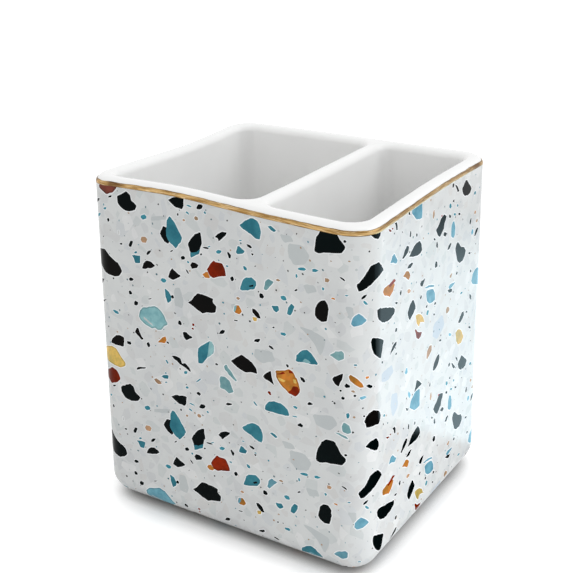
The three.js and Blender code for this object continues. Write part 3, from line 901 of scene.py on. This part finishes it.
# %% [markdown]
# Each chip is laid down four times: in two rows, at the front and again half way round. The
# wet sheet gives a little as it is smoothed down, so the rows aren't quite alike. The first
# row is drawn together towards the rim. The second row slides along, leans, and is lifted
# on the right side. Where the rim has moved in the kiln, a chip is set as much lower or
# higher on the sheet, so that it comes out where it was drawn.

# %% Lay the chips
shrink = 0.0145
first_slip, first_rise, first_line = 0.9, 0.25, 95
row_drop = 57.4
slide_rate, slide_start, slide_most = 0.028, 1.5, 1.4
slant, slant_line = 0.03, 80
gather, gather_line = 0.02, 110
row_lift, lift_line, lift_length = 3.6, 88, 32


def settle(along, up, row):
    """Where a point of a chip lands on the sheet."""
    if row == 0:
        along += first_slip - shrink * along
        up += first_rise + shrink * (first_line - up)
        met = min(up, shoulder_centre)
        kiln_lift = wrap(along, met)[0].z / MM - met if up > wave_foot else 0.0
        return along, up - kiln_lift
    slide = min(slide_most, slide_rate * along - slide_start) + slant * (slant_line - up)
    slide -= gather * max(0.0, along - gather_line)
    return along + slide, up - row_drop + row_lift * smooth((along - lift_line) / lift_length)


sheet_points = list(sheet_corners)
sheet_faces = [[0, 1, 2, 3]]
layers = [(0, ground, 0.0)]


def add_outline(points, order, colour, mask):
    """Adds a closed outline, turned anticlockwise, and leaves out one that crosses itself."""
    if crosses_itself(points):
        return
    if area_of(points) < 0:
        points = points[::-1]
    for turn in (-1, 0, 1):
        turned = [(x + turn * girth, y) for x, y in points]
        if max(x for x, y in turned) > 0 and min(x for x, y in turned) < girth:
            first = len(sheet_points)
            sheet_points.extend(turned)
            sheet_faces.append(list(range(first, first + len(turned))))
            layers.append((order, colour, mask))


for number, (ink, corners, kind) in enumerate(chips):
    order = chip_order + number
    for row, half_turn in ((0, 0), (0, 1), (1, 0), (1, 1)):
        colour = inks[second_pull.get(ink, ink) if row == 1 else ink]
        placed = [settle(x, y, row) for x, y in corners]
        placed = [(x + half_turn * girth / 2, y) for x, y in placed]
        ups = [y for x, y in placed]
        if max(ups) < lowest - 1 or min(ups) > print_top + 1:
            continue
        if kind == "crumb":
            add_outline(grown(placed, crumb_halo), halo_order, halo_ink, 0.0)
            add_outline(placed, order, colour, 1.0)
            continue
        outline = roughen(cut_corners(placed), number)
        if kind == "patch":
            add_outline(outline, order, colour, 1.0)
        elif ink in ("mist", "frost"):
            add_outline(outline, faint_order, colour, 0.0)
        else:
            add_outline(grown(outline, halo_width), halo_order, halo_ink, 0.0)
            add_outline(outline, order, shade(colour, edge_shade), 1.0)
            middle = grown(outline, -edge_width)
            if abs(area_of(outline)) > smallest_middle and area_of(middle) * area_of(outline) > 0:
                add_outline(middle, order + 0.5, shade(colour, middle_shade), 1.0)


def outlines_of(mesh):
    return [[tuple(mesh.vertices[i].co.xy) for i in polygon.vertices] for polygon in mesh.polygons]


sprinkle = random.Random(3)
for points in outlines_of(shards):
    reach = math.sqrt(abs(area_of(points))) * 0.5
    shakes = [noise.noise_vector(Vector((x * shard_scale, y * shard_scale, shard_seed))) for x, y in points]
    broken = [(x + shake.x * reach, y + shake.y * reach) for (x, y), shake in zip(points, shakes)]
    add_outline(broken, shard_order + sprinkle.uniform(0, 0.1), sprinkle.choice(shard_inks), 0.0)
for points in outlines_of(dust):
    add_outline(points, dust_order, inks[sprinkle.choice(dust_inks)], 0.5)

corner_cuts = 10
foot_cuts = 9
nearly = 1e-5
fold_lines = []
distance = -corner_length / 2
for name, length in runs:
    if name == "corner":
        for cut in range(corner_cuts + 1):
            line = (distance + length * cut / corner_cuts) % girth
            fold_lines.append(((line, lowest), (line, print_top)))
    distance += length
for cut in range(1, foot_cuts + 1):
    line = lowest + (foot_centre - lowest) * cut / foot_cuts
    fold_lines.append(((0.0, line), (girth, line)))


def cut_sheet(points, faces):
    """Triangles of the sheet, also cut where it folds round the cup."""
    first = len(points)
    ends = [end for line in fold_lines for end in line]
    folds = [(first + 2 * i, first + 2 * i + 1) for i in range(len(fold_lines))]
    cut = delaunay_2d_cdt([Vector(p) for p in points + ends], folds, faces, 0, nearly, True)
    cut_points, _, triangles, _, _, holders = cut
    return cut_points, [(face, holder) for face, holder in zip(triangles, holders) if 0 in holder]


flat_points, cut_faces = cut_sheet(sheet_points, sheet_faces)
print(len(sheet_points), "points in,", len(cut_faces), "triangles out")

# %% [markdown]
# The cut sheet is wrapped point by point with the helper above. Its colours are kept on the
# corners of its faces, its flat coordinates as a UV map, and the true direction of the wall
# as the normal of each corner. Without that, the many thin triangles on the rounded edges
# would show as ripples in the reflections. A second, plain sheet with the same edge closes
# the back, so that the print is a thin solid like the real film.

# %% The printed wrap
film = print_film * 0.8
same_place = 0.001
same_way = 0.6
on_edge = 1e-4
bm = bmesh.new()
tint = bm.loops.layers.float_color.new("print_ink")
flat_map = bm.loops.layers.uv.new("flat_sheet")


def place_key(point, made):
    """Names a place on the sheet, so that the two ends of the sheet meet in one vertex."""
    along, up = round(point[0], 3), round(point[1], 3)
    if abs(point[0] - girth) < same_place:
        along = 0.0
    if along == 0.0:
        near = [(0.0, round(up + step, 3)) for step in (0, same_place, -same_place)]
        return next((key for key in near if key in made), near[0])
    return along, up


def wrap_sheet(points, faces, depth, colour_of):
    """Adds a sheet to the mesh and returns its vertices and their directions by place."""
    made = {}
    for face, holder in faces:
        corners = []
        for index in face:
            key = place_key(points[index], made)
            if key not in made:
                point, normal = wrap(*points[index], -depth)
                made[key] = (bm.verts.new(point), normal)
            corners.append(made[key][0])
        if len(set(corners)) < 3 or bm.faces.get(corners):
            continue
        if depth:
            corners.reverse()
            face = face[::-1]
        new = bm.faces.new(corners)
        for loop, index in zip(new.loops, face):
            loop[tint] = colour_of(holder)
            loop[flat_map].uv = (points[index][0] / girth, points[index][1] / girth)
    return made


def ink_of(holder):
    order, colour, mask = max(layers[index] for index in holder)
    return (*colour[:3], mask)


front = wrap_sheet(flat_points, cut_faces, 0.0, ink_of)
edge_points = [tuple(p) for p in flat_points if min(abs(p[1] - lowest), abs(p[1] - print_top)) < on_edge]
plain_points, plain_faces = cut_sheet(sheet_corners + edge_points, [[0, 1, 2, 3]])
back = wrap_sheet(plain_points, plain_faces, film, lambda holder: (*ground[:3], 0.0))
place_of = {vertex: key for key, (vertex, normal) in front.items()}
for edge in [edge for edge in bm.edges if edge.is_boundary and edge.verts[0] in place_of]:
    first, second = edge.link_loops[0].vert, edge.link_loops[0].link_loop_next.vert
    rim = bm.faces.new((second, first, back[place_of[first]][0], back[place_of[second]][0]))
    for loop in rim.loops:
        loop[tint] = edge.link_loops[0][tint]
print("open edges:", sum(edge.is_boundary for edge in bm.edges))

bm.normal_update()
direction_of = {vertex: normal for vertex, normal in front.values()}
corner_normals = []
for face in bm.faces:
    face.smooth = True
    for loop in face.loops:
        normal = direction_of.get(loop.vert)
        facing_alike = normal and face.normal.dot(normal) > same_way
        corner_normals.append(tuple(normal if facing_alike else face.normal))
mesh = bpy.data.meshes.new("terrazzo_wrap")
bm.to_mesh(mesh)
bm.free()
mesh.normals_split_custom_set(corner_normals)

# %% [markdown]
# The print lies under clear glaze, so chips and ground share one gloss. The ink of each
# face arrives as an attribute. The shader only makes it less even: the ground is faintly
# clouded, and the chips are streaked as if the ink had been drawn through a screen. The
# index of refraction is low, because the glaze is thin and the inks stay deep and black.

# %% Printed glaze
printed, shader, start = new_material("printed_glaze")
shader.inputs["IOR"].default_value = 1.1
ink = start.node("ShaderNodeAttribute", {"attribute_name": "print_ink"})
mask = start.node("ShaderNodeAttribute", {"attribute_name": "print_ink"}, output="Alpha")
place = start.place()
clouds = place.noise(90.0, detail=5.0, roughness=0.6)
streaks = place.noise(520.0, detail=4.0, roughness=0.65)
smears = place.noise(160.0)
ripple = place.noise(150.0, detail=2.0)
ground_tone = clouds.between(0.35, 0.7).blend((1.0, 1.0, 1.0, 1.0), (0.94, 0.94, 0.95, 1.0))
streaked = streaks.between(0.35, 0.7) * 0.5 + smears.between(0.4, 0.62) * 0.5
chip_tone = streaked.blend((0.76, 0.83, 0.85, 1.0), (1.45, 1.28, 1.22, 1.0))
toned = start.node("ShaderNodeMix", {"data_type": "RGBA", "blend_type": "MULTIPLY"},
                   {0: 1.0, 6: ink, 7: mask.blend(ground_tone, chip_tone)}, output=2)
connect(shader, colour=toned, roughness=0.1 + 0.05 * clouds, normal=ripple.bump(0.03 * MM))
mesh.materials.append(printed)
wrap_piece = new_object("terrazzo_wrap", mesh)
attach(wrap_piece, "root")
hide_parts("terrazzo_print")
print("terrazzo_wrap", len(mesh.polygons), "faces")

# %% [markdown]
# The gold line is lustre, painted on with a fine brush while the cup turns, over the top
# edge of the transfer. A brush held by hand drifts: the line swells, thins and wavers by a
# tenth of a millimetre, and shows dark where one stroke laps the next. On the right side its
# colour is mixed towards a dull brown, which is painted shade for a dimmer reflection there.
# It follows the same flat sheet as the print, so the line is a strip of points across and
# round, moved by noise, and wrapped over the shoulder of the rim.

# %% The gold line
gold_width = 1.3
gold_lap = 0.15
gold_film = 0.06
gold_underside = [(0.85, -0.045), (0.5, -0.045), (0.15, -0.045)]
drift_pace, drift_reach = 9, 0.04
swell_pace, swell_reach = 17, 0.12
round_steps = 900
across_steps = 8
stroke_round = 3.2
stroke_across = 1.5


def gold_section(share_round):
    """Points across the brush line at one place round the cup, and their place in the stroke."""
    turn = 2 * math.pi * share_round
    circle = Vector((math.cos(turn), math.sin(turn), 0))
    drift = noise.noise(circle * drift_pace + Vector((0, 0, 2)))
    swell = noise.noise(circle * swell_pace + Vector((0, 0, 7)))
    low = print_top - gold_lap + drift_reach * drift
    width = gold_width + swell_reach * swell
    shares = [step / across_steps for step in range(across_steps + 1)]
    crowned = [(share, gold_film * math.sin(math.pi * share) ** 0.5) for share in shares]
    return [(wrap(girth * share_round, low + width * share, crown)[0],
             circle * stroke_round + Vector((0, 0, stroke_across * share)))
            for share, crown in crowned + gold_underside]


bm = bmesh.new()
stroke = bm.verts.layers.float_vector.new("stroke")
sections = []
for step in range(round_steps):
    section = []
    for point, place in gold_section(step / round_steps):
        vertex = bm.verts.new(point)
        vertex[stroke] = place
        section.append(vertex)
    sections.append(section)
for i, section in enumerate(sections):
    join_rings(bm, sections[i - 1], section)

lustre, shader, start = new_material("gold_lustre")
shader.inputs["Metallic"].default_value = 1.0
stroke_place = start.node("ShaderNodeAttribute", {"attribute_name": "stroke"}, output=1)
place = start.place()
strokes = stroke_place.noise(2.6, detail=4.0, roughness=0.6)
thin = stroke_place.noise(5.0, roughness=0.6)
fine = place.noise(1500.0, roughness=0.6)
across = stroke_place.axis(2) * (1 / stroke_across)
onward = stroke_place.axis(1)
first_lap = onward.between(-0.2, -0.08) - onward.between(0.04, 0.14)
second_lap = onward.between(0.36, 0.48) - onward.between(0.6, 0.85)
# Painted shade: on the right side the lustre is mixed towards a dull brown, in place of a dimmer reflection.
right_shade = place.axis(0).between(0.0415, 0.0432)
edge = 1 - across.between(0.0, 0.3) * (1 - across.between(0.75, 1.0) * 0.9)
body = strokes.between(0.38, 0.6).blend(paint("#93703f"), paint("#cca870"))
edged = (edge * 0.6).blend(body, paint("#5f421a"))
bright = thin.between(0.52, 0.7).blend(edged, paint("#e6cda4"))
with_right_shade = (right_shade * 0.35).blend(bright, paint("#746252"))
colour = ((first_lap + second_lap) * 0.75).blend(with_right_shade, paint("#5a3b22"))
connect(shader, colour=colour, roughness=0.24 + 0.2 * fine, normal=strokes.bump(0.02 * MM))
gold = finish_mesh("gold_line", bm, [lustre])
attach(gold, "root")
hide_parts("gold_rim_line")

# %% [markdown]
# The four feet are the clear rubber bumpers that are pressed into the hollow of the foot.
# They are all alike, so a Geometry Nodes tree makes one and puts it on four points. It
# starts from a disc of rings, and lifts each ring by a formula that leaves the middle flat
# and turns the edge over. The formula is a named power, so that a blunter or a rounder pad
# is again one number.

# %% Four soft feet
pad_names = ("foot_pad_front_left", "foot_pad_front_right", "foot_pad_back_right", "foot_pad_back_left")
pad_boxes = [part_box(name) for name in pad_names]
pad_low, pad_high = pad_boxes[0]
edge_drop = 0.45
rubber, shader, start = new_material("pad_rubber")
bloom = start.place().noise(700.0, detail=4.0)
colour = bloom.between(0.3, 0.7).blend(paint("#cfcfc8"), paint("#dedcd3"))
connect(shader, colour=colour, roughness=0.4 + 0.2 * bloom, normal=bloom.bump(0.03 * MM))

places, radius, thickness, power, material = new_tree(
    "soft_feet", Radius="Float", Thickness="Float", Power="Float", Finish="Material")
disc = places.node("GeometryNodeMeshCylinder", {"fill_type": "TRIANGLE_FAN"}, {
    "Vertices": 48, "Side Segments": 6, "Fill Segments": 10, "Radius": radius, "Depth": thickness})
x, y, z = (places.node("GeometryNodeInputPosition").axis(number) for number in range(3))
from_axis = places.node("ShaderNodeCombineXYZ", None, {"X": x, "Y": y})
reach = places.node("ShaderNodeVectorMath", {"operation": "LENGTH"}, {0: from_axis}, output="Value")
edge = reach.math("POWER", reach.math("DIVIDE", reach, radius), power)
domed = places.node("ShaderNodeCombineXYZ", None, {"X": x, "Y": y, "Z": z * (1.0 - edge * edge_drop)})
shaped = places.node("GeometryNodeSetPosition", None, {"Geometry": disc, "Position": domed})
copies = places.node("GeometryNodeInstanceOnPoints", None, {"Points": places, "Instance": shaped})
tree = close_tree(copies, material)

centres = bpy.data.meshes.new("pad_centres")
centres.from_pydata([(low + high) / 2 for low, high in pad_boxes], [], [])
pads = run_tree("soft_feet", centres, tree, Radius=(pad_high.x - pad_low.x) / 2,
                Thickness=pad_high.z - pad_low.z, Power=8.0, Finish=rubber)
pads.polygons.foreach_set("use_smooth", [True] * len(pads.polygons))
feet = new_object("soft_feet", pads)
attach(feet, "root")
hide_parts(*pad_names)
print("soft_feet", len(pads.polygons), "faces")

# %% [markdown]
# The studio is a white table in soft light. The table stays white to the eye because a
# little light is added where a camera or a mirror sees it, and its own colour still takes
# the shadow of the cup. Close to the foot, where little open air is left, both are darker:
# an occlusion mask paints a contact shadow there, on top of the real one.

# %% The table
table_size = 4.0
table_lift = 0.46
shadow_reach = 0.014
no_light, full_light = paint("#000000"), paint("#ffffff")


def seen_directly(start):
    """1 for light that a camera, a mirror or a glass sees, and 0 for all other light."""
    seen = [start.node("ShaderNodeLightPath", output=f"Is {kind} Ray")
            for kind in ("Camera", "Glossy", "Transmission")]
    return start.math("MAXIMUM", start.math("MAXIMUM", seen[0], seen[1]), seen[2])


table_paint, shader, start = new_material("white_table")
shader.inputs["Roughness"].default_value = 0.9
shader.inputs["Specular IOR Level"].default_value = 0.1
# Painted contact shadow: where the occlusion mask finds the cup close by, the table's colour goes grey and
# the added light fades.
near = start.node("ShaderNodeAmbientOcclusion", {"samples": 16}, {"Distance": shadow_reach}, output=1)
open_air = near.between(0.1, 0.85)
connect(shader, colour=open_air.blend(paint("#aeadac"), paint("#f4f4f4")))
added = (seen_directly(start) * open_air).blend(no_light, full_light)
lift = start.node("ShaderNodeEmission", None, {"Color": added, "Strength": table_lift})
both = start.node("ShaderNodeAddShader", None, {0: start, 1: lift})
end = start.tree.nodes["Material Output"]
start.tree.links.new(both.socket, end.inputs["Surface"])
bm = bmesh.new()
bmesh.ops.create_grid(bm, x_segments=2, y_segments=2, size=table_size)
table = finish_mesh("table", bm, [table_paint])

# %% [markdown]
# The main softbox stands high on the right, so the right side is the bright one and the
# wide front falls a little into shade. Two small lamps close to the cup stand in for the
# light that a white table throws back: one at the foot of the right side and one at the
# front right corner. No glaze mirrors those two. A weak softbox overhead keeps the rim
# white. Each lamp is a place, the point it aims at, its two sides and its power.

# %% The light
lamp_colour = (0.94, 0.97, 1.0)


def softbox(name, place, aim, size, power):
    lamp = bpy.data.lights.new(name, "AREA")
    lamp.shape = "RECTANGLE"
    lamp.size, lamp.size_y = size
    lamp.energy = power
    lamp.color = lamp_colour
    stand = new_object(name, lamp)
    turn = (Vector(aim) - Vector(place)).to_track_quat("-Z", "Y")
    stand.matrix_world = Matrix.Translation(place) @ turn.to_matrix().to_4x4()
    stand.visible_camera = False
    return stand


softbox("main_softbox", (0.6, 0.3, 0.6), (0, 0, 0.05), (0.6, 0.5), 1.25)
softbox("top_softbox", (0.0, 0.0, 0.75), (0, 0, 0.1), (0.5, 0.5), 0.2)
for lamp in (
    softbox("low_softbox", (0.095, -0.014, 0.014), (0.043, -0.014, 0.014), (0.08, 0.02), 0.0065),
    softbox("corner_softbox", (0.12, -0.055, 0.06), (0.042, -0.036, 0.055), (0.02, 0.1), 0.014),
):
    lamp.visible_glossy = False

# %% [markdown]
# A glazed side shows what lies beside it. The camera looks down, so from here the right side
# mirrors the table: its lower part mirrors the table close by, and its upper part the table
# farther back. A lit sheet lies there, bright at its near edge and fading away from the cup,
# and a black cloth lies in front of it. So the upper chips wear a cool sheen, which grows
# downwards and ends at a line, and the lower chips stay black. Only reflections see the
# sheet and the cloth, so they light nothing.

# %% The sheet and the cloth in the glaze
side_face = rim_width / 2 * MM
beside = side_face + 0.002
sheet_edge = 0.04
sheet_end = 0.27
soft_edge = 0.008
sheet_glow = 9.0
sheet_colour = (0.66, 0.9, 1.0, 1.0)


def laid_flat(name, material, left, right, near, far, level):
    """A rectangle on the table that only reflections see."""
    bm = bmesh.new()
    corners = [(left, near), (right, near), (right, far), (left, far)]
    bm.faces.new([bm.verts.new((x, y, level)) for x, y in corners])
    flat = finish_mesh(name, bm, [material])
    flat.visible_camera = flat.visible_diffuse = flat.visible_shadow = False


sheet_paint, shader, start = new_material("lit_sheet")
shader.inputs["Base Color"].default_value = no_light
shader.inputs["Emission Strength"].default_value = sheet_glow
depth = start.place().axis(1)
fade = 0.52 - depth.between(0.18, 0.24) * 0.3 - depth.between(0.24, 0.265) * 0.22
lit = fade * depth.between(sheet_edge, sheet_edge + soft_edge)
connect(shader, glow=lit.blend(no_light, sheet_colour))
laid_flat("lit_sheet", sheet_paint, beside, 0.4, sheet_edge, sheet_end, 0.0004)

cloth_paint, shader, start = new_material("black_cloth")
shader.inputs["Specular IOR Level"].default_value = 0.0
nap = start.place().noise(900.0)
connect(shader, colour=nap.blend(paint("#050505"), paint("#101010")))
laid_flat("black_cloth", cloth_paint, beside, 0.2, -0.06, sheet_edge, 0.0003)

# %% [markdown]
# The room is an even light from all round. It lights the cup a little less strongly than it
# looks, so that the air behind it stays white and the cup keeps its shadows.

# %% The room
room_level = 0.82
world = bpy.data.worlds.new("white_room")
bpy.context.scene.world = world
world.use_nodes = True
background = world.node_tree.nodes["Background"]
start = Wire(world.node_tree, background.outputs[0])
room_colour = seen_directly(start).blend((room_level, room_level, room_level, 1.0), full_light)
world.node_tree.links.new(room_colour.socket, background.inputs["Color"])

# %% [markdown]
# The camera stands a little above the rim and to the right of the front. Its place is
# given as a photographer would give it: how far round, how high, how far off, and which
# point it aims at. A camera looks along its own -Z, so the matrix is built from three axes.

# %% The camera
round_angle = math.radians(32.03)
rise_angle = math.radians(22.6)
roll = math.radians(-0.71)
reach = 325.72
sensor_width = 36.0
frame_pixels = 573
focal_pixels = 1104.6
aim_right = -2.28
aim_up = 12.4

level_back = Vector((math.sin(round_angle), -math.cos(round_angle), 0))
back = level_back * math.cos(rise_angle) + Vector((0, 0, math.sin(rise_angle)))
level_right = Vector((math.cos(round_angle), math.sin(round_angle), 0))
level_up = back.cross(level_right)
aim = Vector((0, 0, height / 2)) + level_right * aim_right + level_up * aim_up
axis_x = level_right * math.cos(roll) + level_up * math.sin(roll)
axis_y = level_up * math.cos(roll) - level_right * math.sin(roll)
turned = Matrix((axis_x, axis_y, back)).transposed().to_4x4()
eye = bpy.data.cameras.new("studio_camera")
eye.sensor_width = sensor_width
eye.lens = focal_pixels / frame_pixels * sensor_width
eye.clip_start = 0.01
camera = new_object("studio_camera", eye)
camera.matrix_world = Matrix.Translation((aim + back * reach) * MM) @ turned
bpy.context.scene.camera = camera
bpy.context.scene.view_settings.view_transform = "Standard"
print("camera at", [round(c, 3) for c in camera.matrix_world.translation])
